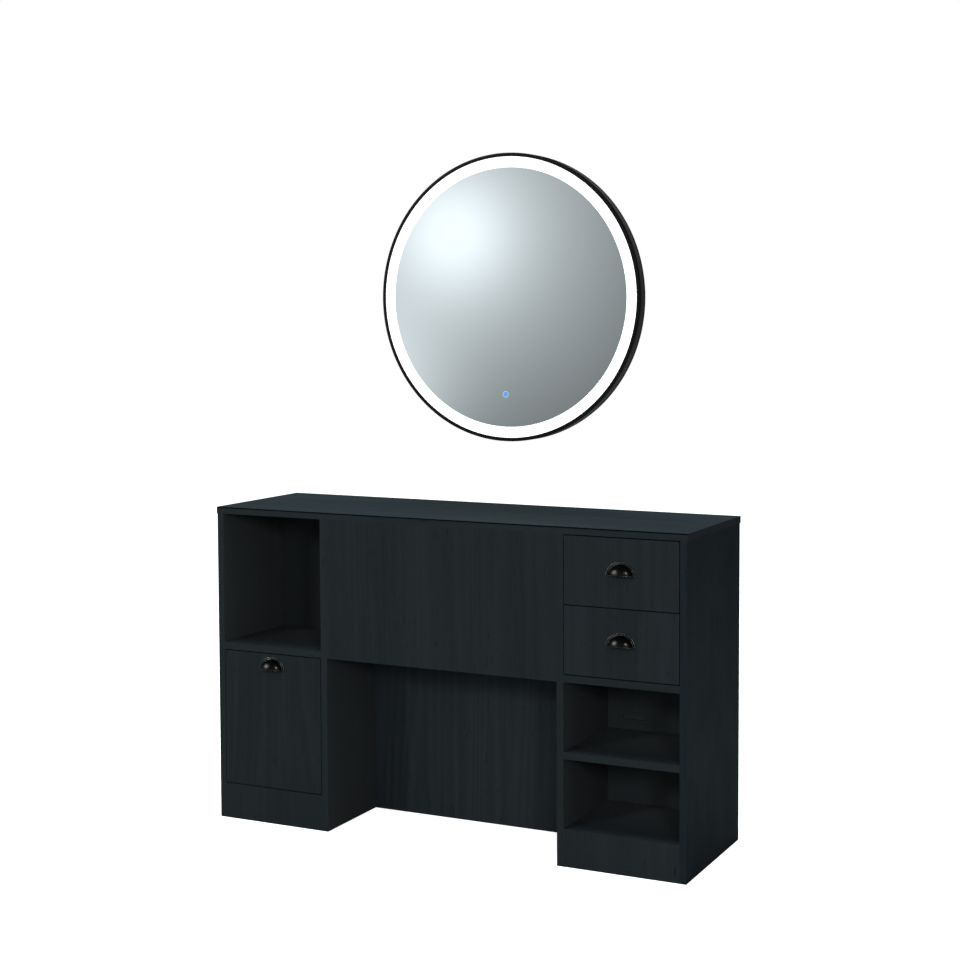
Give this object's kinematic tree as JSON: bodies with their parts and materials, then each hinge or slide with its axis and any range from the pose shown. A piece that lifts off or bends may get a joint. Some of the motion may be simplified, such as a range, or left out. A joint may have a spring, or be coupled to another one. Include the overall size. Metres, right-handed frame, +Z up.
{
  "type": "salon vanity table with mirror",
  "caption": "Two-pedestal salon vanity with a kneehole, drawers, tilt-out hamper, open compartments and a round lit wall mirror above.",
  "frame": {"origin": "on the floor under the middle of the whole object's box", "axes": "+X to the sitter's right, +Y to the wall, +Z up"},
  "size_m": [1.204, 0.3568, 1.5917],
  "materials": {
    "charcoal_woodgrain": "matt charcoal laminate with a fine vertical wood grain",
    "drawer_board": "plain dark grey melamine-faced board",
    "bronze_pull": "dark antique bronze, rubbed bright along the rim",
    "runner_steel": "zinc-plated rolled steel",
    "black_plastic": "fine-textured black",
    "touch_button": "blue-lit touch symbol",
    "mirror_frame_black": "satin black",
    "mirror_glass": "silvered glass",
    "lit_frosted_ring": "frosted, lit from behind in cool white",
    "led_strip": "white strip with diodes",
    "white_steel": "white powder coat",
    "white_plastic": "smooth white"
  },
  "bodies": {
    "table": {"top_panel": "charcoal_woodgrain", "left_side_panel": "charcoal_woodgrain", "right_side_panel": "charcoal_woodgrain", "left_divider_panel": "charcoal_woodgrain", "right_divider_panel": "charcoal_woodgrain", "center_apron_panel": "charcoal_woodgrain", "kneehole_back_panel": "charcoal_woodgrain", "left_shelf": "charcoal_woodgrain", "left_back_panel": "charcoal_woodgrain", "right_back_panel": "charcoal_woodgrain", "drawer_support_shelf": "charcoal_woodgrain", "middle_shelf": "charcoal_woodgrain", "left_plinth": "charcoal_woodgrain", "right_plinth": "charcoal_woodgrain", "left_bottom_panel": "charcoal_woodgrain", "right_bottom_panel": "charcoal_woodgrain", "upper_left_runner_cabinet_member": "runner_steel", "upper_right_runner_cabinet_member": "runner_steel", "lower_left_runner_cabinet_member": "runner_steel", "lower_right_runner_cabinet_member": "runner_steel", "hamper_stop_batten": "drawer_board", "left_pivot_hinge": "runner_steel", "right_pivot_hinge": "runner_steel", "mirror_hanger": "runner_steel", "mirror_wall_bracket": "runner_steel", "cable_outlet": "black_plastic", "cable_gland": "black_plastic", "touch_sensor": "touch_button", "mirror_frame": "mirror_frame_black", "mirror_glass": "mirror_glass", "light_ring": "lit_frosted_ring", "led_strip": "led_strip", "mirror_back_plate": "white_steel", "led_driver": "white_plastic"},
    "upper_drawer": {"upper_drawer_front": "charcoal_woodgrain", "upper_drawer_left_side": "drawer_board", "upper_drawer_right_side": "drawer_board", "upper_drawer_back": "drawer_board", "upper_drawer_bottom": "drawer_board", "upper_drawer_pull": "bronze_pull", "upper_left_runner_drawer_member": "runner_steel", "upper_right_runner_drawer_member": "runner_steel"},
    "lower_drawer": {"lower_drawer_front": "charcoal_woodgrain", "lower_drawer_left_side": "drawer_board", "lower_drawer_right_side": "drawer_board", "lower_drawer_back": "drawer_board", "lower_drawer_bottom": "drawer_board", "lower_drawer_pull": "bronze_pull", "lower_left_runner_drawer_member": "runner_steel", "lower_right_runner_drawer_member": "runner_steel"},
    "upper_runner_middle": {"upper_left_runner_middle_member": "runner_steel", "upper_right_runner_middle_member": "runner_steel"},
    "lower_runner_middle": {"lower_left_runner_middle_member": "runner_steel", "lower_right_runner_middle_member": "runner_steel"},
    "hamper": {"hamper_door": "charcoal_woodgrain", "hamper_pull": "bronze_pull", "bin_left_cheek": "drawer_board", "bin_right_cheek": "drawer_board", "bin_back": "drawer_board", "bin_bottom": "drawer_board"}
  },
  "joints": [
    {"name": "upper_drawer_slide", "type": "slide", "parent": "table", "child": "upper_drawer", "axis": [0, -1, 0], "range_m": [0, 0.2]},
    {"name": "upper_runner_slide", "type": "slide", "parent": "table", "child": "upper_runner_middle", "axis": [0, -1, 0], "range_m": [0, 0.1]},
    {"name": "lower_drawer_slide", "type": "slide", "parent": "table", "child": "lower_drawer", "axis": [0, -1, 0], "range_m": [0, 0.2]},
    {"name": "lower_runner_slide", "type": "slide", "parent": "table", "child": "lower_runner_middle", "axis": [0, -1, 0], "range_m": [0, 0.1]},
    {"name": "hamper_tilt", "type": "hinge", "parent": "table", "child": "hamper", "pos_m": [-0.448, -0.1485, 0.112], "axis": [1, 0, 0], "range_deg": [0, 38]}
  ],
  "couplings": [
    {"joint": "upper_runner_slide", "follows": "upper_drawer_slide", "ratio": 0.5},
    {"joint": "lower_runner_slide", "follows": "lower_drawer_slide", "ratio": 0.5}
  ]
}
